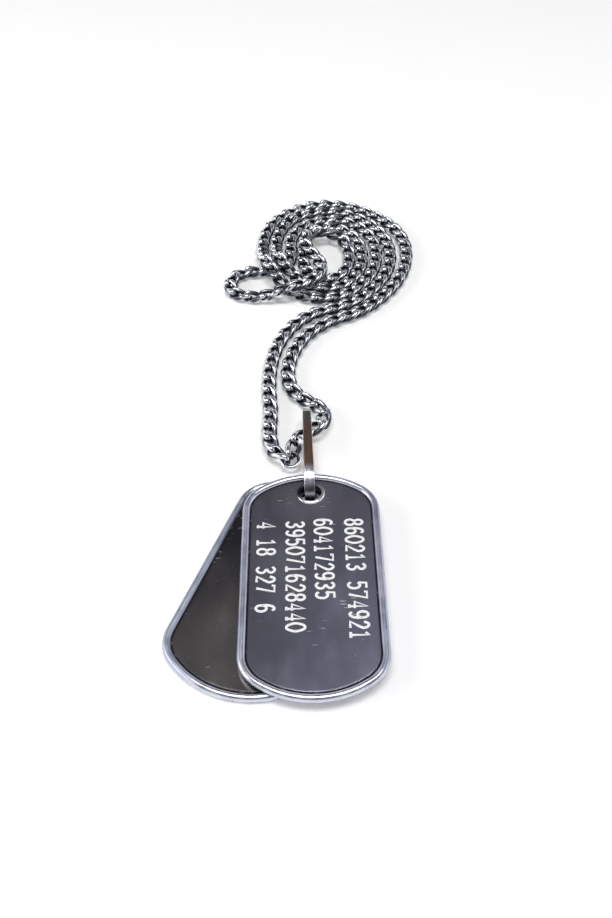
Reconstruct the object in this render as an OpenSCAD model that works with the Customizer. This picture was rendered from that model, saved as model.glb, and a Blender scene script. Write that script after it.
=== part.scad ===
// Two identification tags on a neck chain, lying on a flat surface.
// Millimetres. +Z is up, +Y runs from the tags to the far end of the heaped chain,
// and the origin lies on the surface under the middle of the whole.

/* [Tags] */
// Length of each tag
tag_l = 50.5; // [46:0.5:56]
// Width of each tag
tag_w = 26.8; // [25:0.2:30]
// Radius of the rounded ends
end_r = 17.9; // [16.5:0.1:21]
// Radius of the four corners
corner_r = 7.2; // [6:0.1:8.5]
// Thickness of the plate inside the rim
plate_t = 0.5; // [0.4:0.05:0.8]
// Diameter of the rolled rim
rim_d = 1.5; // [1.2:0.05:1.6]
// Diameter of the hole
hole_d = 4.2; // [3.6:0.1:4.6]
// Distance from the top edge to the middle of the hole
hole_down = 5; // [4.6:0.1:5.3]
// Width of the raised collar round the hole
collar_w = 0.8; // [0.6:0.1:1]
// Height of the collar above each face
collar_h = 0.25; // [0.1:0.05:0.3]

/* [Bail] */
// Outer length of the folded strip
bail_l = 25.8; // [23:0.1:28]
// Outer height of the folded strip
bail_h = 5.4; // [5.3:0.1:6.5]
// Width of the strip
bail_w = 1.9; // [1.4:0.1:2.4]
// Thickness of the strip
bail_t = 0.7; // [0.5:0.05:0.75]
// Outer radius of the long slope at the strip's near end
bail_slope_r = 10; // [9:0.5:11]
// Turn of that slope, in degrees
bail_slope = 24; // [20:1:27]
// Outer radius of the bend that goes through the holes
bail_bend_r = 2.6; // [2.4:0.1:3]

/* [Chain] */
// Diameter of the links' wire
wire_d = 0.85; // [0.6:0.05:0.85]
// Outer width of a link
link_w = 3.6; // [3.4:0.05:3.7]
// Distance from one link to the next
link_pitch = 3.92; // [3.9:0.02:4.1]
// Play between two links along the chain
link_play = 0.4; // [0.3:0.05:0.45]
// Twist of each end of a link, in degrees
link_twist = -50; // [-52:1:-46]
// Mean diameter of the closing ring
ring_d = 3.6; // [3.4:0.1:3.8]

/* [Hidden] */

// Shift from the layout's own zero, near the tags' holes, to the middle of the whole
centre = [1.3, 28.5, 0];

rim_r = rim_d / 2;
corner_x = tag_w / 2 - corner_r;
corner_rise = sqrt(pow(end_r - corner_r, 2) - corner_x * corner_x);
corner_y = tag_l / 2 - end_r + corner_rise;
corner_turn = atan2(corner_rise, corner_x);
hole_y = tag_l / 2 - hole_down;

// The bail stands on its edge and is turned a little; its near bend goes through both holes
bail_at = [0.8, -5.8, 0];
bail_yaw = 1.6;
bail_back = 0.5;

// Each tag is placed by its hole: place beside the bail, turn, lift of the upper end, lean
front_hole = [0.12, 0.8];
front_yaw = 0.69;
front_pitch = 1.4;
front_lean = -1;
front_hole_z = 3.63;
back_hole = [-0.3, 0.05];
back_yaw = -20.9;
back_pitch = 1.1;
back_hole_z = rim_r + (tag_l - hole_down - rim_r) * sin(back_pitch);

// Closing ring: middle, and its leans about X and Y
ring_at = [-3.2, 5.8, 2];
ring_lean = [11, -4];

// Chosen points along the chain, from the closing ring round the heap and back: x, y, z and roll in degrees
route = [
    [-4.2, 6, 1.9, 40], [-7, 9, 1.7, 20], [-8, 14.5, 1.5, 10], [-7.7, 20.5, 1.3, 0],
    [-8.3, 26.5, 1.3, 0], [-8.4, 33, 1.3, 0], [-7.8, 39.5, 1.3, 0], [-6, 46, 1.3, 0],
    [-3, 51.5, 1.3, 0], [1.5, 56, 1.3, 0], [7.5, 58.6, 1.3, 0], [13.5, 62, 1.3, 0],
    [18.2, 68, 1.3, 0], [21.2, 75, 1.3, 0], [22.2, 82.5, 1.3, 0], [20.8, 90.5, 1.3, 0],
    [16.5, 97.2, 1.3, 0], [9.8, 101.5, 1.3, 0], [2.5, 102, 1.3, 0], [-4, 98, 1.3, 0],
    [-7.4, 91, 1.3, 0], [-8, 83.5, 1.7, 0], [-7, 76.5, 4, 0], [-3, 70.5, 2.3, 0], [4, 66.4, 1.3, 0],
    [10.2, 68.4, 1.3, 0], [13.8, 74.5, 1.3, 0], [14.8, 82, 1.3, 0], [13.4, 89, 1.3, 0],
    [8.6, 94, 1.3, 0], [3.2, 94, 1.3, 0], [-0.2, 89.2, 1.3, 0], [-0.7, 82, 1.3, 0],
    [-0.6, 76.6, 1.3, 0], [1.6, 72.2, 1.3, 0], [5.6, 70.4, 1.3, 0], [9.3, 72.6, 1.3, 0],
    [11, 77, 1.3, 0], [11.5, 81, 1.3, 0], [11, 85, 1.6, 0], [9, 88.5, 2.4, 0], [5, 89.5, 3.3, 0],
    [1, 87.5, 4.1, 0], [-0.5, 83, 4.4, 0], [1.5, 78, 4.1, 0], [4, 73.5, 4.1, 0], [3.5, 69, 4.1, 0],
    [0, 65, 4.1, 0], [-4.5, 63.5, 3.8, 0], [-9.5, 63, 1.8, 0], [-14, 63, 1.3, 0],
    [-18, 64.5, 1.3, 0], [-19.5, 68.5, 1.3, 0], [-17.5, 72.5, 1.3, 0], [-13.5, 74, 1.3, 0],
    [-9.5, 74, 1.4, 0], [-6, 75.5, 1.3, 0], [-4, 79, 1.3, 0], [-4, 84, 1.3, 0], [-4, 89, 1.3, 0],
    [0.2, 96, 1.3, 0], [7, 98.2, 1.3, 0], [13.4, 95.6, 1.3, 0], [17.6, 89.6, 1.3, 0],
    [18.5, 82, 1.3, 0], [17.4, 74.5, 1.3, 0], [14, 67.8, 1.3, 0], [9, 63.4, 1.3, 0],
    [2.5, 62.4, 1.3, 0], [-4, 65.5, 1.5, 0], [-8, 70, 3.6, 0], [-10.5, 75.5, 4, 0],
    [-11.5, 81, 2, 0], [-11.5, 87, 1.3, 0], [-10, 94.5, 1.3, 0], [-5, 101.5, 1.3, 0],
    [2.5, 105.7, 1.3, 0], [10.8, 105.2, 1.3, 0], [18.2, 101, 1.3, 0], [24.1, 94.2, 1.3, 0],
    [26.5, 86, 1.3, 0], [26, 78, 1.3, 0], [23.4, 70, 1.3, 0], [19, 63, 1.3, 0],
    [13.5, 57.2, 1.3, 0], [6.5, 53.6, 1.3, 0], [1.2, 49.2, 1.3, 0], [-2.2, 43.5, 1.3, 0],
    [-4, 37, 1.3, 0], [-4, 31, 1.3, 0], [-2, 26.5, 1.3, 0], [1.5, 23.5, 1.6, 0], [4, 20, 2.2, 0],
    [3.5, 16, 2.7, 0], [0.5, 13.5, 2.8, 0], [-2, 10.8, 2.9, -10], [-3.2, 7, 2.3, -30]
];
steps = 12;
around = 10;
sides = 5;
// Evenness of a link's outline: 1 is an ellipse, less is squarer
squareness = 0.5;

route_ends = concat([2 * route[0] - route[1]], route,
    [2 * route[len(route) - 1] - route[len(route) - 2]]);
function spline(a, b, c, d, t) =
    b + 0.5 * t * ((c - a) + t * ((2 * a - 5 * b + 4 * c - d) + t * (3 * (b - c) + d - a)));
curve = concat([for (i = [0 : len(route) - 2], j = [0 : steps - 1])
    spline(route_ends[i], route_ends[i + 1], route_ends[i + 2], route_ends[i + 3], j / steps)],
    [route[len(route) - 1]]);
function place(p) = [p[0], p[1], p[2]];
travel = [for (i = 0, s = 0; i < len(curve); i = i + 1,
    s = s + norm(place(curve[min(i, len(curve) - 1)]) - place(curve[i - 1]))) s];
travel_table = [for (i = [0 : len(curve) - 1]) [travel[i], i]];
link_count = round(travel[len(curve) - 1] / link_pitch);
function at(s) = let (u = lookup(s, travel_table), i = min(floor(u), len(curve) - 2))
    curve[i] + (u - i) * (curve[i + 1] - curve[i]);
joints = [for (k = [0 : link_count]) at(k * travel[len(curve) - 1] / link_count)];

function unit(v) = v / norm(v);
function power(v, e) = sign(v) * pow(abs(v), e);
half_l = (link_pitch + wire_d + link_play) / 2;
half_w = (link_w - wire_d) / 2;
// One link's centreline, each end twisted the other way about its length
link_line = [for (i = [0 : around - 1]) let (c = power(cos(i * 360 / around), squareness),
    s = power(sin(i * 360 / around), squareness), turn = link_twist * sin(90 * c))
    [half_l * c, half_w * s * cos(turn), half_w * s * sin(turn)]];
link_skin = [for (i = [0 : around - 1]) let (p = link_line[i],
    along = unit(link_line[(i + 1) % around] - link_line[(i + around - 1) % around]),
    out = unit(p - along * (p * along)), side = cross(along, out))
    for (k = [0 : sides - 1])
        p + wire_d / 2 * (cos(k * 360 / sides) * out + sin(k * 360 / sides) * side)];
link_faces = [for (i = [0 : around - 1], k = [0 : sides - 1])
    let (a = i * sides + k, b = i * sides + (k + 1) % sides, n = ((i + 1) % around) * sides)
    for (f = [[a, n + (k + 1) % sides, b], [a, n + k, n + (k + 1) % sides]]) f];

// The rolled edge: four corner arcs, and a hair thinner between them, so that each run ends inside a corner
rim_lap = 0.1;
rim_step = 0.01;
module rim_arc(at, radius, from, to, d)
    translate([at[0], at[1], 0]) rotate([0, 0, from]) rotate_extrude(angle = to - from, $fn = 96)
        translate([radius - rim_r, 0]) circle(d = d, $fn = 32);

module rim() {
    thin = rim_d - 2 * rim_step;
    lap_turn = rim_lap / end_r * 180 / PI;
    for (x = [0, 1], y = [0, 1]) mirror([x, 0, 0]) mirror([0, y, 0])
        rim_arc([corner_x, corner_y], corner_r, 0, corner_turn, rim_d);
    for (y = [0, 1]) mirror([0, y, 0])
        rim_arc([0, tag_l / 2 - end_r], end_r, corner_turn - lap_turn, 180 - corner_turn + lap_turn, thin);
    for (x = [-1, 1]) translate([x * (tag_w / 2 - rim_r), 0, 0]) rotate([90, 0, 0])
        cylinder(h = 2 * (corner_y + rim_lap), d = thin, center = true, $fn = 32);
}

// The plate's edge runs along the middle of the rim
function edge_points(at, radius, from, to, steps) = [for (i = steps)
    let (a = from + (to - from) * i / 8) at + (radius - rim_r) * [cos(a), sin(a)]];
quarter = concat(edge_points([corner_x, corner_y], corner_r, 0, corner_turn, [0 : 7]),
    edge_points([0, tag_l / 2 - end_r], end_r, corner_turn, 90, [0 : 7]));
function flip(points, x, y) = [for (i = [0 : len(points) - 1])
    let (p = points[x * y > 0 ? i : len(points) - 1 - i]) [p[0] * x, p[1] * y]];

module tag() difference() {
    union() {
        linear_extrude(height = plate_t, center = true)
            polygon([for (m = [[1, 1], [-1, 1], [-1, -1], [1, -1]]) each flip(quarter, m[0], m[1])]);
        rim();
        translate([0, hole_y, 0])
            cylinder(h = plate_t + 2 * collar_h, d = hole_d + 2 * collar_w, center = true, $fn = 64);
    }
    translate([0, hole_y, 0]) cylinder(h = rim_d * 2, d = hole_d, center = true, $fn = 64);
}

module tag_at(hole, z, yaw, pitch, lean)
    translate([bail_at[0] + hole[0], bail_at[1] + hole[1], z]) rotate([0, 0, yaw]) rotate([pitch, 0, 0])
        rotate([0, lean, 0]) translate([0, -hole_y, 0]) tag();

module front_tag() color("slategray") translate(-centre)
    tag_at(front_hole, front_hole_z, front_yaw, front_pitch, front_lean);

module back_tag() color("dimgray") translate(-centre)
    tag_at(back_hole, back_hole_z, back_yaw, back_pitch, 0);

// The strip's section turned about a point, from one angle to another; the outer radius is given
module bail_arc(at, radius, from, to)
    translate([at[0], at[1], 0]) rotate([0, 0, from]) rotate_extrude(angle = to - from, $fn = 96)
        translate([radius - bail_t, -bail_w / 2]) square([bail_t, bail_w]);

module bail() color("silver") translate(-centre) translate(bail_at) rotate([0, 0, bail_yaw])
    translate([0, -bail_back, 0]) rotate([90, 0, 90]) {
        low_r = bail_h - bail_slope_r * (1 - cos(bail_slope)) - bail_bend_r * cos(bail_slope);
        far = bail_l - bail_h / 2;
        more = bail_slope_r - bail_bend_r;
        top = [bail_bend_r + more * sin(bail_slope), low_r - more * cos(bail_slope)];
        bail_arc([low_r, low_r], low_r, 180, 270);
        bail_arc([bail_bend_r, low_r], bail_bend_r, 90 + bail_slope, 180);
        bail_arc(top, bail_slope_r, 90, 90 + bail_slope);
        bail_arc([far, bail_h / 2], bail_h / 2, -90, 90);
        translate([low_r, 0, -bail_w / 2]) cube([far - low_r, bail_t, bail_w]);
        translate([top[0], bail_h - bail_t, -bail_w / 2]) cube([far - top[0], bail_t, bail_w]);
    }

module closing_ring() color("lightgray") translate(-centre) translate(ring_at) rotate([ring_lean[0], 0, 0])
    rotate([0, ring_lean[1], 0]) rotate_extrude($fn = 48)
        translate([ring_d / 2, 0]) circle(d = wire_d, $fn = 24);

// One link between two joints, rolled about its own length
module link(k) {
    mid = (joints[k] + joints[k + 1]) / 2;
    x = unit(place(joints[k + 1] - joints[k]));
    level = unit(cross([0, 0, 1], x));
    y = cos(mid[3]) * level + sin(mid[3]) * cross(x, level);
    z = cross(x, y);
    polyhedron(points = [for (p = link_skin) place(mid) + p[0] * x + p[1] * y + p[2] * z],
        faces = link_faces);
}

module links(first, last) color("lightsteelblue") translate(-centre)
    for (k = [first : last]) link(k);

module chain_near_half() links(0, floor(link_count / 2) - 1);
module chain_far_half() links(floor(link_count / 2), link_count - 1);

front_tag();
back_tag();
bail();
closing_ring();
chain_near_half();
chain_far_half();
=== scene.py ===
import bpy
import bmesh
import math
from mathutils import Matrix, Vector


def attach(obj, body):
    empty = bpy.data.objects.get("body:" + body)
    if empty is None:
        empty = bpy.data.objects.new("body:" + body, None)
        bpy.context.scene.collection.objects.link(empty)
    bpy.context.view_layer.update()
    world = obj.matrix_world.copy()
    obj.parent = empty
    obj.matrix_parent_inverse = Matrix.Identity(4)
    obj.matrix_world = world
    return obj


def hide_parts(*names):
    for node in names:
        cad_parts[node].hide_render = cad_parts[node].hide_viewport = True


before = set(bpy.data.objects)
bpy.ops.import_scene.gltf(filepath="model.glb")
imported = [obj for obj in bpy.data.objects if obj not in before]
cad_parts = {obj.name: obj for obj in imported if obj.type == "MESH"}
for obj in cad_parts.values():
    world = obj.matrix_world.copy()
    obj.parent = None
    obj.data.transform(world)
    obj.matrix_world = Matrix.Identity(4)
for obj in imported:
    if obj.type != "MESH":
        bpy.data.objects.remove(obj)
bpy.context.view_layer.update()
mm = 0.001
middle = Vector((0.0013, 0.0285, 0))  # the part's middle, seen from the layout's zero near the holes
print("frame loaded")


# Shader maths: a Wire is a node's output that can be added, multiplied and so on

class Wire:
    def __init__(self, board, socket):
        self.board, self.socket = board, socket

    def sum(self, operation, first, second):
        return self.board.node("ShaderNodeMath", {"operation": operation}, {0: first, 1: second})

    def __add__(self, other): return self.sum("ADD", self, other)
    def __radd__(self, other): return self.sum("ADD", other, self)
    def __sub__(self, other): return self.sum("SUBTRACT", self, other)
    def __rsub__(self, other): return self.sum("SUBTRACT", other, self)
    def __mul__(self, other): return self.sum("MULTIPLY", self, other)
    def __rmul__(self, other): return self.sum("MULTIPLY", other, self)


class Board:  # one material and its nodes
    def __init__(self, name, **shader):
        self.material = bpy.data.materials.new(name)
        self.material.use_nodes = True
        self.tree = self.material.node_tree
        self.shader = self.tree.nodes["Principled BSDF"]
        for socket, value in shader.items():
            self.shader.inputs[socket.replace("_", " ")].default_value = value
        self.place = self.node("ShaderNodeTexCoord", out="Object")

    def node(self, kind, settings={}, inputs={}, out=0):
        made = self.tree.nodes.new(kind)
        for key, value in settings.items():
            if key == "stops":
                ramp = made.color_ramp
                while len(ramp.elements) < len(value):
                    ramp.elements.new(0.5)
                for stop, (where, colour) in zip(ramp.elements, value):
                    stop.position = where
                    stop.color = colour if len(colour) == 4 else (*colour, 1)
            else:
                setattr(made, key, value)
        for key, value in inputs.items():
            if isinstance(value, Wire):
                self.tree.links.new(value.socket, made.inputs[key])
            else:
                made.inputs[key].default_value = value
        return Wire(self, made.outputs[out])

    def mapped(self, turn, stretch):
        return self.node("ShaderNodeMapping", {}, {"Vector": self.place, "Rotation": (0, 0, turn),
                                                   "Scale": stretch})

    def noise(self, scale, detail=2, roughness=0.5, stretch=None, turn=0):
        where = self.mapped(turn, stretch) if stretch else self.place
        return self.node("ShaderNodeTexNoise", {}, {"Vector": where, "Scale": scale, "Detail": detail,
                                                    "Roughness": roughness})

    def distance(self, spot):
        return self.node("ShaderNodeVectorMath", {"operation": "DISTANCE"}, {0: self.place, 1: spot},
                         out="Value")

    def axis(self, index):
        return self.node("ShaderNodeSeparateXYZ", {}, {0: self.place}, out=index)

    def ramp(self, value, *stops):
        greys = [(where, (shade, shade, shade)) for where, shade in stops]
        return self.node("ShaderNodeValToRGB", {"stops": greys}, {0: value})

    def blend(self, share, first, second):
        return self.node("ShaderNodeMix", {"data_type": "RGBA"}, {0: share, 6: first, 7: second}, out=2)

    def feed(self, **wires):
        for socket, wire in wires.items():
            self.tree.links.new(wire.socket, self.shader.inputs[socket.replace("_", " ")])
        return self.material

    def bump(self, height, depth):
        return self.node("ShaderNodeBump", {}, {"Height": height, "Distance": depth}, out="Normal")


def faceSteel(name, look):  # a tag's flat faces: polished dark steel, smeared, with short scratches
    board = Board(name, Metallic=1.0)
    x, y = board.axis(0), board.axis(1)
    smears = board.noise(110, 3, 0.55, stretch=(1, 0.5, 1), turn=0.6)
    # painted reflection: each face lighter towards the bottom, and towards the right by across
    share = look["middle"] + x * look["across"] - (y + 0.055) * look["down"] + (smears - 0.5) * 0.7
    ticks = board.node("ShaderNodeTexVoronoi", {"feature": "F1"}, {
        "Vector": board.mapped(-0.5, (1, 7, 1)), "Scale": 210, "Randomness": 1.0})
    few = board.ramp(board.noise(170, 1, 0.5), (0.53, 0), (0.6, 1))
    ticks = board.ramp(ticks, (0.09, 1), (0.18, 0)) * few
    specks = board.ramp(board.noise(2600, 1, 0.5), (0.74, 0), (0.8, 1))
    marks = ticks * 0.6 + specks * 0.35
    colour = board.blend(board.ramp(share, (0, 0), (1, 1)), look["dark"], look["light"])
    about = board.distance((-0.0015, -0.0355, 0.0036))  # painted reflection: a paler patch below the front tag's hole
    halo = board.ramp(about * 100 + (smears - 0.5) * 0.3, (0.25, 1), (0.75, 0)) * look["halo"]
    colour = board.blend(halo, colour, look["scratchAndSheen"])
    colour = board.blend(marks, colour, look["scratchAndSheen"])
    rough = look["roughness"] + board.ramp(smears, (0.35, 0), (0.75, 1)) * 0.12 + marks * 0.3
    tilt = board.bump(board.noise(60, 1, 0.4) + smears * 0.12 + marks * 0.01, 0.0001)
    return board.feed(Base_Color=colour, Roughness=rough, Normal=tilt)


def rimSteel():  # rolled rims and collars: brighter, rubbed metal, with painted shade on the rim's upper right and painted highlight and shade on the front collar
    board = Board("rimSteel", Metallic=1.0)
    rub = board.noise(420, 3, 0.55)
    x, y = board.axis(0), board.axis(1)
    colour = board.blend(board.ramp(rub, (0.3, 0), (0.7, 1)), (0.5, 0.53, 0.63, 1), (0.72, 0.75, 0.85, 1))
    # painted shade: the rim darker towards its upper right
    right = board.ramp(x * 150 - 1.0, (0, 0), (1, 1)) * board.ramp(y * 100 + 4.7, (0, 0), (1, 1))
    colour = board.blend(right * 0.6, colour, (0.25, 0.26, 0.36, 1))
    across = board.node("ShaderNodeMath", {"operation": "ABSOLUTE"}, {0: x + 0.0004})
    side = (board.ramp(across * 830 - 9.3, (0, 0), (1, 1)) * board.ramp(y * 250 + 18.7, (0, 0), (1, 1))
            * board.ramp(y * -250 - 8, (0, 0), (1, 1)))
    colour = board.blend(side * 0.55, colour, (0.3, 0.32, 0.43, 1))
    # the front tag's collar: a painted highlight makes it bright, and painted shade darkens its upper left
    # corner
    collar = (-0.00038, -0.0335, 0.0036)
    near = board.ramp(board.distance(collar) * 200, (0.62, 1), (0.7, 0))
    above = board.ramp((y - collar[1]) * 180 - (x - collar[0]) * 130 + 0.6, (0.2, 0), (0.8, 1))
    colour = board.blend(near, colour, (0.95, 0.95, 1.0, 1))
    colour = board.blend(near * above * 0.95, colour, (0.02, 0.02, 0.03, 1))
    rough = 0.23 + board.ramp(rub, (0.35, 0), (0.7, 1)) * 0.14 + side * 0.14
    return board.feed(Base_Color=colour, Roughness=rough, Normal=board.bump(rub, 0.00002))


def grooveSteel():  # painted shade: the narrow groove between rim and face is painted dark, in patches
    board = Board("grooveSteel", Metallic=0.3, Specular_IOR_Level=0.2)
    grooveShade = board.noise(700, 3, 0.6)
    colour = board.blend(board.ramp(grooveShade, (0.6, 0), (0.75, 1)), (0.02, 0.02, 0.027, 1), (0.3, 0.3, 0.34, 1))
    return board.feed(Base_Color=colour, Roughness=0.55 + grooveShade * 0.3)


def bailSteel():  # bright strip, with painted reflections along its top: pale at the near end, brown in the middle, greenish at the far end
    look = {"far": (0.5, 0.53, 0.48, 1), "brown": (0.6, 0.43, 0.33, 1), "near": (0.78, 0.78, 0.86, 1),
            "bend": (0.12, 0.12, 0.17, 1)}
    board = Board("bailSteel", Metallic=1.0)
    y = board.axis(1) + (board.noise(150, 2) - 0.5) * 0.002
    colour = board.blend(board.ramp(y * 830 + 23.4, (0, 0), (1, 1)), look["near"], look["brown"])
    colour = board.blend(board.ramp(y * 600 + 9.5, (0, 0), (1, 1)), colour, look["far"])
    # painted dark reflection down the near bend
    colour = board.blend(board.ramp(y * -800 - 25.4, (0, 0), (1, 0.8)), colour, look["bend"])
    lines = board.noise(500, 2, 0.5, stretch=(6, 0.3, 1))
    # hammered lower towards its near end, so that the light lies across it there
    back = board.node("ShaderNodeClamp", {}, {0: (board.axis(1) + 0.0348) * -100 + 0.85, "Max": 1.2})
    kept = board.node("ShaderNodeClamp", {}, {0: back, "Max": 0.5})
    height = (kept * kept * 0.5 - back * kept) * 0.0088 + board.noise(120, 1) * 0.00006
    return board.feed(Base_Color=colour, Roughness=0.16 + board.ramp(lines, (0.4, 0), (0.7, 1)) * 0.1,
                      Normal=board.bump(height, 1.0))


def chainSteel():  # bright where links rub and with painted highlight, dark inside their loops and between links with painted shade
    board = Board("chainSteel", Metallic=1.0)
    wear = board.node("ShaderNodeAttribute", {"attribute_name": "wear"}, out="Fac")
    spots = board.noise(900, 2, 0.6)
    mask = board.ramp(wear + (spots - 0.5) * 0.4, (0.4, 0), (0.8, 1))
    colour = board.blend(mask, (0.065, 0.07, 0.085, 1), (0.76, 0.79, 0.85, 1))
    return board.feed(Base_Color=colour, Roughness=0.26 - mask * 0.12, Normal=board.bump(spots, 0.00003))


def markWhite():  # the marking's pale fill
    board = Board("markWhite", Metallic=0.0)
    grain = board.noise(2500, 2, 0.6)
    colour = board.blend(board.ramp(grain, (0.35, 0), (0.6, 1)), (0.8, 0.8, 0.82, 1), (0.95, 0.95, 0.96, 1))
    return board.feed(Base_Color=colour, Roughness=0.42 + grain * 0.15)


def piece(name, bm, *materials, slot, stands=(), smooth=0.7):
    mesh = bpy.data.meshes.new(name)
    for face in bm.faces:
        face.smooth = True
    for edge in bm.edges:
        edge.smooth = len(edge.link_faces) != 2 or edge.calc_face_angle(0) < smooth
    bm.to_mesh(mesh)
    bm.free()
    for material in materials:
        mesh.materials.append(material)
    made = bpy.data.objects.new(name, mesh)
    bpy.context.scene.collection.objects.link(made)
    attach(made, "root")
    if stands:
        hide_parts(*stands)
    print(name, len(mesh.polygons), "faces")
    return made


# Tags, worked out in millimetres about their own middle

tag = {"length": 50.5, "width": 26.8, "endRadius": 17.9, "cornerRadius": 7.2, "plate": 0.5, "rim": 1.5,
       "hole": 4.2, "holeDown": 5.0, "collarWidth": 0.72, "collarHeight": 0.25, "groove": 0.13,
       "rimFlat": 0.7, "collarFlat": 0.5}  # flat rings beside rim and collar keep the face's shading level
holeY = tag["length"] / 2 - tag["holeDown"]
bailAt = (0.8, -5.8)
frontPose = {"hole": (0.12, 0.8), "z": 3.63, "yaw": 0.69, "pitch": 1.4, "lean": -1.0}
backPose = {"hole": (-0.3, 0.05), "yaw": -20.9, "pitch": 1.1, "lean": 0.0}
backPose["z"] = tag["rim"] / 2 + (holeY + tag["length"] / 2 - tag["rim"] / 2) * math.sin(
    math.radians(backPose["pitch"]))


def tagPlace(pose):
    turn = Matrix.Identity(4)
    for key, axis in (("yaw", "Z"), ("pitch", "X"), ("lean", "Y")):
        turn = turn @ Matrix.Rotation(math.radians(pose[key]), 4, axis)
    hole = Vector((bailAt[0] + pose["hole"][0], bailAt[1] + pose["hole"][1], pose["z"])) * mm - middle
    return Matrix.Translation(hole) @ turn @ Matrix.Scale(mm, 4) @ Matrix.Translation((0, -holeY, 0))


def openLine(bm, points):  # vertices joined one after another
    made = [bm.verts.new(p) for p in points]
    return made + [bm.edges.new(pair) for pair in zip(made, made[1:])]


def onward(bm, geom, centre=None, angle=0, steps=1, shift=None):  # sweeps a profile along an arc or a line
    if shift is None:
        return bmesh.ops.spin(bm, geom=geom, cent=centre, axis=(0, 0, 1), angle=angle, steps=steps,
                              use_merge=False, use_duplicate=False)["geom_last"]
    edges = [g for g in geom if isinstance(g, bmesh.types.BMEdge)]
    new = bmesh.ops.extrude_edge_only(bm, edges=edges)["geom"]
    verts = [g for g in new if isinstance(g, bmesh.types.BMVert)]
    bmesh.ops.translate(bm, vec=shift, verts=verts)
    return verts + [g for g in new if isinstance(g, bmesh.types.BMEdge) and all(v in new for v in g.verts)]


def tagShape():
    bm = bmesh.new()
    rim, half, plate = tag["rim"] / 2, tag["length"] / 2, tag["plate"] / 2
    cornerX = tag["width"] / 2 - tag["cornerRadius"]
    rise = math.sqrt((tag["endRadius"] - tag["cornerRadius"]) ** 2 - cornerX ** 2)
    cornerY = half - tag["endRadius"] + rise
    turn = math.atan2(rise, cornerX)
    # the rim's section, from the face over the bead and its curled edge to the back
    bead = [(math.cos(a) * rim, math.sin(a) * rim) for a in
            [math.radians(160 - i * 320 / 22) for i in range(23)]]
    brink = [(-rim - tag["rimFlat"], plate), (-rim - 0.3, plate), (-rim - 0.14, plate - 0.03),
             (-rim - 0.04, plate - tag["groove"])]
    section = brink + bead + [(u, -w) for u, w in brink[::-1]]
    sweep = openLine(bm, [(0, half - rim + u, w) for u, w in section])
    sweep = onward(bm, sweep, (0, half - tag["endRadius"], 0), turn - math.pi / 2, 16)
    sweep = onward(bm, sweep, (cornerX, cornerY, 0), -turn, 16)
    for i in range(6):
        sweep = onward(bm, sweep, shift=(0, -cornerY / 6, 0))
    for axis in "XY":
        bmesh.ops.mirror(bm, geom=bm.verts[:] + bm.edges[:] + bm.faces[:], axis=axis, merge_dist=1e-4)
    for face in bm.faces:  # 0 the flat face, 1 the rim, 2 the groove between them
        depths = [insideRim(v.co, half, cornerX, cornerY, turn) - 2 * rim for v in face.verts]
        groove = min(depths) > -0.06 and max(depths) < 0.35
        face.material_index = 0 if min(depths) > 0.25 else 2 if groove else 1
    # the collar round the hole
    hole, wide = tag["hole"] / 2, tag["hole"] / 2 + tag["collarWidth"]
    high = plate + tag["collarHeight"]
    over = [(wide + tag["collarFlat"], plate), (wide, plate), (wide - 0.06, plate + 0.1),
            (wide - 0.18, high - 0.04), (wide - 0.34, high), (hole + 0.24, high - 0.01),
            (hole + 0.08, high - 0.08), (hole, plate)]
    ring = openLine(bm, [(r, 0, z) for r, z in over] + [(r, 0, -z) for r, z in over[::-1]])
    bmesh.ops.translate(bm, vec=(0, holeY, 0), verts=[g for g in ring if isinstance(g, bmesh.types.BMVert)])
    before = set(bm.faces)
    bmesh.ops.spin(bm, geom=ring, cent=(0, holeY, 0), axis=(0, 0, 1), angle=2 * math.pi, steps=48,
                   use_merge=True, use_duplicate=False)
    for face in set(bm.faces) - before:
        flat = max(math.hypot(v.co.x, v.co.y - holeY) for v in face.verts) > wide + tag["collarFlat"] - 0.1
        face.material_index = 0 if flat else 1
    # the two faces between rim and collar
    for side in (1, -1):
        edges = [e for e in bm.edges if len(e.link_faces) == 1 and all(v.co.z * side > 0 for v in e.verts)]
        bmesh.ops.triangle_fill(bm, edges=edges, use_beauty=True, use_dissolve=False, normal=(0, 0, side))
    bmesh.ops.recalc_face_normals(bm, faces=bm.faces)
    return bm


def insideRim(p, half, cornerX, cornerY, turn):  # how far a point lies inside the outline
    x, y = abs(p.x), abs(p.y)
    if y < cornerY:
        return cornerX + tag["cornerRadius"] - x
    if math.atan2(y - cornerY, x - cornerX) < turn and x > cornerX:
        return tag["cornerRadius"] - math.hypot(x - cornerX, y - cornerY)
    return tag["endRadius"] - math.hypot(x, y - half + tag["endRadius"])


# dark and light tones of each face; middle, across and down shape its painted reflection gradient
frontFace = {"dark": (0.29, 0.29, 0.31, 1), "light": (0.56, 0.57, 0.73, 1), "scratchAndSheen": (0.8, 0.8, 0.83, 1),
             "middle": 0.45, "across": 18, "down": 6, "halo": 0.35, "roughness": 0.13}
backFace = {"dark": (0.1, 0.1, 0.11, 1), "light": (0.26, 0.24, 0.23, 1), "scratchAndSheen": (0.7, 0.7, 0.72, 1),
            "middle": 0.5, "across": 0, "down": 45, "halo": 0, "roughness": 0.15}
edging = rimSteel()
grooveShade = grooveSteel()
for name, node, pose, look in (("frontTag", "front_tag", frontPose, frontFace),
                               ("backTag", "back_tag", backPose, backFace)):
    bm = tagShape()
    bmesh.ops.transform(bm, matrix=tagPlace(pose), verts=bm.verts)
    piece(name, bm, faceSteel(name, look), edging, grooveShade, slot=node, stands=(node,), smooth=0.6)


# Four lines of filler figures on the front tag, as flat strokes
# v is a polyline, a an open curve, o a closed one

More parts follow.
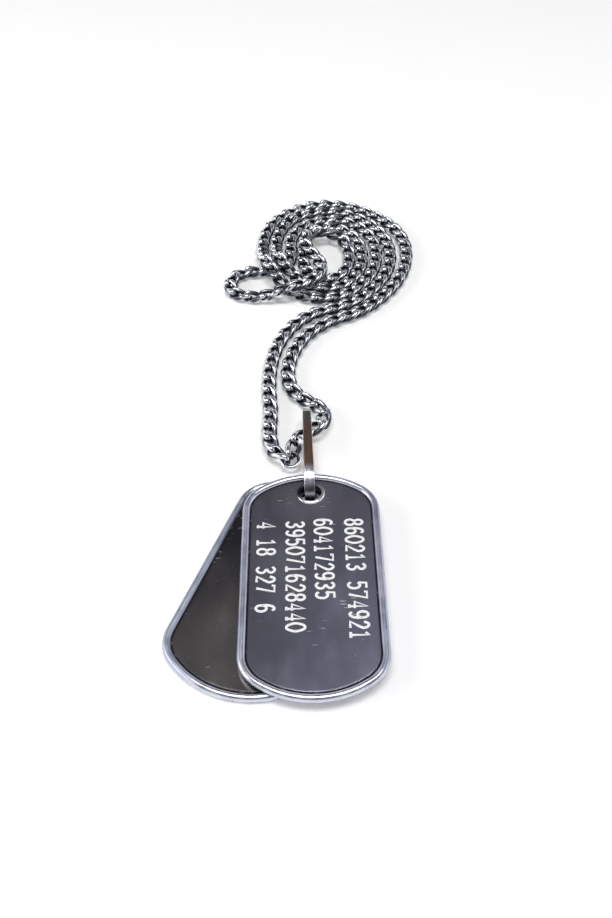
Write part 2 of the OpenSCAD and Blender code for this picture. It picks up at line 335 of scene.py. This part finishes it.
figures = {
    "0": [("o", (.5, 2), (0, 1.5), (0, .5), (.5, 0), (1, .5), (1, 1.5))],
    "1": [("v", (.1, 1.6), (.5, 2), (.5, 0)), ("v", (.05, 0), (.95, 0))],
    "2": [("a", (0, 1.5), (.5, 2), (1, 1.5), (.75, .95)), ("v", (.75, .95), (0, 0), (1, 0))],
    "3": [("a", (0, 1.75), (.5, 2), (.95, 1.55), (.4, 1.08)), ("a", (.4, 1.08), (1, .6), (.5, 0), (0, .25))],
    "4": [("v", (.75, 0), (.75, 2), (0, .6), (1.05, .6)), ("v", (.45, 0), (1, 0))],
    "5": [("v", (.95, 2), (.1, 2), (.05, 1.1)), ("a", (.05, 1.1), (.55, 1.28), (1, .65), (.5, 0), (0, .25))],
    "6": [("a", (.92, 1.8), (.5, 2), (.03, 1.3), (.02, .6)), ("o", (.5, 0), (.02, .6), (.5, 1.15), (1, .6))],
    "7": [("v", (0, 1.7), (0, 2), (1, 2), (.4, 0))],
    "8": [("o", (.5, 1.08), (.06, 1.55), (.5, 2), (.94, 1.55)),
          ("o", (.5, 1.08), (0, .55), (.5, 0), (1, .55))],
    "9": [("o", (.5, .85), (0, 1.4), (.5, 2), (.98, 1.4)), ("a", (.98, 1.4), (.97, .7), (.5, 0), (.08, .2))],
}
marking = {"lines": ((6.3, 13.5, "860213 574921"), (0.4, 13.6, "604172935"), (-5.0, 13.2, "395071628440"),
                     (-10.5, 13.1, "4 18 327 6")), "pitch": 2.1, "width": 1.32, "height": 3.3, "stroke": 0.5,
           "thick": 0.05, "inset": 0.2}


def markingShape():
    curve = bpy.data.curves.new("marking", "CURVE")
    curve.dimensions = "3D"
    curve.bevel_depth = marking["stroke"] / 2
    curve.bevel_resolution = 1
    curve.use_fill_caps = True
    curve.resolution_u = 5
    for baseX, startY, text in marking["lines"]:
        for i, sign in enumerate(text):
            for kind, *points in figures.get(sign, []):
                stroke = curve.splines.new("BEZIER")
                stroke.bezier_points.add(len(points) - 1)
                stroke.use_cyclic_u = kind == "o"
                for point, (u, v) in zip(stroke.bezier_points, points):
                    point.co = (baseX + v / 2 * marking["height"] + marking["stroke"] / 2,
                                startY - i * marking["pitch"] - u * marking["width"] - marking["inset"], 0)
                    point.handle_left_type = point.handle_right_type = "VECTOR" if kind == "v" else "AUTO"
    holder = bpy.data.objects.new("marking", curve)
    bm = bmesh.new()
    bm.from_mesh(holder.to_mesh())
    bpy.data.objects.remove(holder)
    bpy.data.curves.remove(curve)
    bmesh.ops.scale(bm, vec=(1, 1, marking["thick"] * 2 / marking["stroke"]), verts=bm.verts)
    bmesh.ops.translate(bm, vec=(0, 0, tag["plate"] / 2), verts=bm.verts)
    bmesh.ops.transform(bm, matrix=tagPlace(frontPose), verts=bm.verts)
    return bm


piece("frontFigures", markingShape(), markWhite(), slot="front_tag")


# Bail: a flat strip bent into a long loop on edge

bail = {"length": 25.8, "height": 5.4, "width": 1.95, "taper": 0.08, "thick": 0.7, "yaw": 1.6, "back": 0.5,
        "slopeRadius": 10.0, "slope": 24, "bendRadius": 2.6, "edge": 0.15}


def bailShape():
    bm = bmesh.new()
    slope, bend, far = math.radians(bail["slope"]), bail["bendRadius"], bail["height"] / 2
    more, wide = bail["slopeRadius"] - bend, bail["width"] / 2
    low = bail["height"] - bail["slopeRadius"] * (1 - math.cos(slope)) - bend * math.cos(slope)
    top, end = bend + more * math.sin(slope), bail["length"] - far
    # in the strip's own plane: x along the loop, y up, z across; it starts at the bottom, near the tags
    made = [bm.verts.new(p) for p in ((low, 0, -wide), (low, 0, wide), (low, bail["thick"], wide),
                                      (low, bail["thick"], -wide))]
    sweep = made + [bm.edges.new((made[i], made[(i + 1) % 4])) for i in range(4)]
    for centre, turn, steps in (((low, low), math.pi / 2, 10), ((bend, low), math.pi / 2 - slope, 12),
                                ((top, low - more * math.cos(slope)), slope, 8)):
        sweep = onward(bm, sweep, (*centre, 0), -turn, steps)
    for i in range(4):
        sweep = onward(bm, sweep, shift=((end - top) / 4, 0, 0))
    sweep = onward(bm, sweep, (end, far, 0), -math.pi, 20)
    for i in range(4):
        sweep = onward(bm, sweep, shift=((low - end) / 4, 0, 0))
    bmesh.ops.remove_doubles(bm, verts=bm.verts, dist=1e-4)
    for vert in bm.verts:
        vert.co.z *= 1 + bail["taper"] * (1 - 2 * vert.co.x / bail["length"])
    long = [e for e in bm.edges if e.calc_face_angle(0) > 1]
    bmesh.ops.bevel(bm, geom=long, offset=bail["edge"], segments=3, profile=0.5, affect="EDGES", material=-1)
    bmesh.ops.recalc_face_normals(bm, faces=bm.faces)
    stand = Matrix(((0, 0, 1, 0), (1, 0, 0, 0), (0, 1, 0, 0), (0, 0, 0, 1)))
    place = (Matrix.Translation(Vector((*bailAt, 0)) * mm - middle)
             @ Matrix.Rotation(math.radians(bail["yaw"]), 4, "Z") @ Matrix.Scale(mm, 4)
             @ Matrix.Translation((0, -bail["back"], 0)) @ stand)
    bmesh.ops.transform(bm, matrix=place, verts=bm.verts)
    return bm


piece("bail", bailShape(), bailSteel(), slot="bail", stands=("bail",))


# Chain: the same points as the solids follow, in metres, with a roll in degrees; then the links themselves

route = [
    (-.0042, .006, .0019, 40), (-.007, .009, .0017, 20), (-.008, .0145, .0015, 10),
    (-.0077, .0205, .0013, 0), (-.0083, .0265, .0013, 0), (-.0084, .033, .0013, 0),
    (-.0078, .0395, .0013, 0), (-.006, .046, .0013, 0), (-.003, .0515, .0013, 0),
    (.0015, .056, .0013, 0), (.0075, .0586, .0013, 0), (.0135, .062, .0013, 0),
    (.0182, .068, .0013, 0), (.0212, .075, .0013, 0), (.0222, .0825, .0013, 0),
    (.0208, .0905, .0013, 0), (.0165, .0972, .0013, 0), (.0098, .1015, .0013, 0),
    (.0025, .102, .0013, 0), (-.004, .098, .0013, 0), (-.0074, .091, .0013, 0),
    (-.008, .0835, .0017, 0), (-.007, .0765, .004, 0), (-.003, .0705, .0023, 0),
    (.004, .0664, .0013, 0), (.0102, .0684, .0013, 0), (.0138, .0745, .0013, 0),
    (.0148, .082, .0013, 0), (.0134, .089, .0013, 0), (.0086, .094, .0013, 0), (.0032, .094, .0013, 0),
    (-.0002, .0892, .0013, 0), (-.0007, .082, .0013, 0), (-.0006, .0766, .0013, 0),
    (.0016, .0722, .0013, 0), (.0056, .0704, .0013, 0), (.0093, .0726, .0013, 0),
    (.011, .077, .0013, 0), (.0115, .081, .0013, 0), (.011, .085, .0016, 0), (.009, .0885, .0024, 0),
    (.005, .0895, .0033, 0), (.001, .0875, .0041, 0), (-.0005, .083, .0044, 0),
    (.0015, .078, .0041, 0), (.004, .0735, .0041, 0), (.0035, .069, .0041, 0), (0, .065, .0041, 0),
    (-.0045, .0635, .0038, 0), (-.0095, .063, .0018, 0), (-.014, .063, .0013, 0),
    (-.018, .0645, .0013, 0), (-.0195, .0685, .0013, 0), (-.0175, .0725, .0013, 0),
    (-.0135, .074, .0013, 0), (-.0095, .074, .0014, 0), (-.006, .0755, .0013, 0),
    (-.004, .079, .0013, 0), (-.004, .084, .0013, 0), (-.004, .089, .0013, 0), (.0002, .096, .0013, 0),
    (.007, .0982, .0013, 0), (.0134, .0956, .0013, 0), (.0176, .0896, .0013, 0),
    (.0185, .082, .0013, 0), (.0174, .0745, .0013, 0), (.014, .0678, .0013, 0),
    (.009, .0634, .0013, 0), (.0025, .0624, .0013, 0), (-.004, .0655, .0015, 0),
    (-.008, .07, .0036, 0), (-.0105, .0755, .004, 0), (-.0115, .081, .002, 0),
    (-.0115, .087, .0013, 0), (-.01, .0945, .0013, 0), (-.005, .1015, .0013, 0),
    (.0025, .1057, .0013, 0), (.0108, .1052, .0013, 0), (.0182, .101, .0013, 0),
    (.0241, .0942, .0013, 0), (.0265, .086, .0013, 0), (.026, .078, .0013, 0), (.0234, .07, .0013, 0),
    (.019, .063, .0013, 0), (.0135, .0572, .0013, 0), (.0065, .0536, .0013, 0),
    (.0012, .0492, .0013, 0), (-.0022, .0435, .0013, 0), (-.004, .037, .0013, 0),
    (-.004, .031, .0013, 0), (-.002, .0265, .0013, 0), (.0015, .0235, .0016, 0), (.004, .02, .0022, 0),
    (.0035, .016, .0027, 0), (.0005, .0135, .0028, 0), (-.002, .0108, .0029, -10),
    (-.0032, .007, .0023, -30)
]
link = {"wire": 1.22, "width": 3.95, "pitch": 3.92, "play": 0.1, "twist": -50, "stations": 12, "sides": 6,
        "steps": 12, "drawnIn": 0.87, "ring": 5}


def linkPlaces():
    points = [Vector(p) for p in route]
    points = [2 * points[0] - points[1]] + points + [2 * points[-1] - points[-2]]
    line = []
    for i in range(len(route) - 1):
        a, b, c, d = points[i:i + 4]
        for j in range(link["steps"]):
            t = j / link["steps"]
            bend = 2 * a - 5 * b + 4 * c - d
            line.append(b + 0.5 * t * ((c - a) + t * (bend + t * (3 * (b - c) + d - a))))
    line.append(points[-2])
    travel = [0]
    for a, b in zip(line, line[1:]):
        travel.append(travel[-1] + (b - a).xyz.length)
    count = round(travel[-1] / (link["pitch"] * mm))
    joints, at = [], 0
    for k in range(count + 1):
        s = travel[-1] * k / count
        while at < len(line) - 2 and travel[at + 1] < s:
            at += 1
        joints.append(line[at].lerp(line[at + 1], (s - travel[at]) / (travel[at + 1] - travel[at])))
    places = []
    for a, b in zip(joints, joints[1:]):
        along = (b - a).xyz.normalized()
        level = Vector((0, 0, 1)).cross(along).normalized()
        roll = math.radians((a.w + b.w) / 2)
        side = math.cos(roll) * level + math.sin(roll) * along.cross(level)
        turn = Matrix((along, side, along.cross(side))).transposed().to_4x4()
        places.append(Matrix.Translation((a.xyz + b.xyz) / 2 - middle) @ turn @ Matrix.Scale(mm, 4))
    return places


def linkLine(t):  # a link's centreline, each end twisted the other way
    c, s = (math.copysign(math.sqrt(abs(f(t))), f(t)) for f in (math.cos, math.sin))
    turn = math.radians(link["twist"]) * math.sin(c * math.pi / 2)
    half = (link["width"] - link["wire"]) / 2 * s
    return Vector(((link["pitch"] + link["wire"] + link["play"]) / 2 * c, half * math.cos(turn),
                   half * math.sin(turn)))


def linkShape():  # a ring of round wire, bent to the link's line
    bm = bmesh.new()
    thick = link["wire"] / 2 / link["drawnIn"]  # the smoothing draws the wire in by about an eighth
    upright = Matrix.Translation((link["ring"], 0, 0)) @ Matrix.Rotation(math.pi / 2, 4, "X")
    made = bmesh.ops.create_circle(bm, segments=link["sides"], radius=1, matrix=upright)
    bmesh.ops.spin(bm, geom=made["verts"] + bm.edges[:], cent=(0, 0, 0), axis=(0, 0, 1), angle=2 * math.pi,
                   steps=link["stations"], use_merge=True, use_duplicate=False)
    step = 2 * math.pi / link["stations"]
    for vert in bm.verts:
        t = math.atan2(vert.co.y, vert.co.x)
        out, up = math.hypot(vert.co.x, vert.co.y) - link["ring"], vert.co.z
        centre = linkLine(t)
        along = (linkLine(t + step) - linkLine(t - step)).normalized()
        outward = (centre - along * centre.dot(along)).normalized()
        vert.co = centre + thick * (out * outward + up * along.cross(outward))
    bmesh.ops.recalc_face_normals(bm, faces=bm.faces)
    mesh = bpy.data.meshes.new("link")
    bm.to_mesh(mesh)
    bm.free()
    return mesh


oneLink = linkShape()
places = linkPlaces()
chainLook = chainSteel()
half = len(places) // 2
for name, node, part in (("chainNearHalf", "chain_near_half", places[:half]),
                         ("chainFarHalf", "chain_far_half", places[half:])):
    bm = bmesh.new()
    wear = bm.verts.layers.float.new("wear")
    for place in part:
        start = len(bm.verts)
        bm.from_mesh(oneLink)
        bm.verts.ensure_lookup_table()
        bmesh.ops.transform(bm, matrix=place, verts=bm.verts[start:])
        for vert in bm.verts[start:]:  # bright above and below, partly rubbed and partly painted highlight; painted shade between, where links overlap
            vert[wear] = abs(vert.co.z - place.translation.z) / (1.4 * mm)
    made = piece(name, bm, chainLook, slot="chain", stands=(node,), smooth=4)
    rounding = made.modifiers.new("round", "SUBSURF")
    rounding.levels = rounding.render_levels = 1
print(len(places), "links")


# Closing ring: a round ring with the fine cut that it was opened at

ring = {"middle": (-3.2, 5.8, 2.0), "radius": 1.8, "wire": 0.9, "lean": (11, -4), "gap": 5, "cutAt": 250}


def ringShape():
    bm = bmesh.new()
    upright = Matrix.Translation((ring["radius"], 0, 0)) @ Matrix.Rotation(math.pi / 2, 4, "X")
    made = bmesh.ops.create_circle(bm, cap_ends=True, segments=12, radius=ring["wire"] / 2, matrix=upright)
    bmesh.ops.spin(bm, geom=made["verts"] + bm.edges[:] + bm.faces[:], cent=(0, 0, 0), axis=(0, 0, 1),
                   angle=math.radians(360 - ring["gap"]), steps=48, use_merge=False, use_duplicate=False)
    bmesh.ops.recalc_face_normals(bm, faces=bm.faces)
    wear = bm.verts.layers.float.new("wear")
    for vert in bm.verts:
        # bright outside, dark inside the loop: partly wear, partly painted shade
        vert[wear] = 0.5 + (math.hypot(vert.co.x, vert.co.y) - ring["radius"]) / ring["wire"]
    place = (Matrix.Translation(Vector(ring["middle"]) * mm - middle)
             @ Matrix.Rotation(math.radians(ring["lean"][0]), 4, "X")
             @ Matrix.Rotation(math.radians(ring["lean"][1]), 4, "Y")
             @ Matrix.Rotation(math.radians(ring["cutAt"]), 4, "Z") @ Matrix.Scale(mm, 4))
    bmesh.ops.transform(bm, matrix=place, verts=bm.verts)
    return bm


piece("closingRing", ringShape(), chainLook, slot="closing_ring", stands=("closing_ring",))


# Floor, light and camera

def floorWhite():
    board = Board("floorWhite", Roughness=0.9, Specular_IOR_Level=0.2, Emission_Color=(1, 1, 1, 1),
                  Emission_Strength=0.16)
    grain = board.noise(40, 2)
    return board.feed(Base_Color=board.blend(grain, (0.93, 0.93, 0.93, 1), (0.95, 0.95, 0.95, 1)))


bm = bmesh.new()
bmesh.ops.create_grid(bm, x_segments=2, y_segments=2, size=1.5)
floorMesh = bpy.data.meshes.new("floor")
bm.to_mesh(floorMesh)
bm.free()
floorMesh.materials.append(floorWhite())
floor = bpy.data.objects.new("floor", floorMesh)
bpy.context.scene.collection.objects.link(floor)


def softBox(name, at, to, size, radiance):
    lamp = bpy.data.lights.new(name, "AREA")
    lamp.shape = "RECTANGLE"
    lamp.size, lamp.size_y = size
    lamp.energy = radiance * math.pi * size[0] * size[1]
    made = bpy.data.objects.new(name, lamp)
    made.location = at
    made.rotation_euler = (Vector(to) - Vector(at)).to_track_quat("-Z", "Y").to_euler()
    bpy.context.scene.collection.objects.link(made)


softBox("topLight", (0, -0.05, 0.7), (0, -0.04, 0), (0.5, 0.3), 6.5)
softBox("leftLight", (-0.6, -0.05, 0.3), (0, 0, 0), (0.4, 0.3), 4.0)
softBox("rightLight", (0.6, 0.1, 0.28), (0, 0, 0), (0.4, 0.16), 2.0)

world = bpy.data.worlds.new("studio")
bpy.context.scene.world = world
world.use_nodes = True
tree = world.node_tree
where = tree.nodes.new("ShaderNodeTexCoord")
split = tree.nodes.new("ShaderNodeSeparateXYZ")
ramp = tree.nodes.new("ShaderNodeValToRGB")
tree.links.new(where.outputs["Generated"], split.inputs[0])
tree.links.new(split.outputs["Z"], ramp.inputs[0])
tree.links.new(ramp.outputs[0], tree.nodes["Background"].inputs["Color"])
# from straight below to straight above
sky = [(0.0, (1.0, 1.0, 1.0)), (0.3, (0.95, 0.95, 0.95)), (0.46, (0.12, 0.12, 0.13)),
       (0.7, (0.1, 0.09, 0.085)), (0.85, (0.2, 0.2, 0.23)), (1.0, (0.12, 0.12, 0.13))]
while len(ramp.color_ramp.elements) < len(sky):
    ramp.color_ramp.elements.new(0.5)
for stop, (at, colour) in zip(ramp.color_ramp.elements, sky):
    stop.position, stop.color = at, (*colour, 1)

# the lens is 941.3 pixels long on a picture 918 pixels high, for a sensor of 36 mm
eye = {"distance": 0.199, "elevation": 0.807, "aim": (0.0, 0.00805), "lens": 941.3 / 918 * 36}
camera = bpy.data.objects.new("camera", bpy.data.cameras.new("camera"))
aim = Vector((*eye["aim"], 0)) - middle
camera.location = aim + eye["distance"] * Vector((0, -math.cos(eye["elevation"]), math.sin(eye["elevation"])))
camera.rotation_euler = (math.pi / 2 - eye["elevation"], 0, 0)
camera.data.lens = eye["lens"]
camera.data.clip_start, camera.data.clip_end = 0.005, 10
bpy.context.scene.collection.objects.link(camera)
bpy.context.scene.camera = camera
bpy.context.scene.view_settings.view_transform = "Standard"
print("light and camera set")
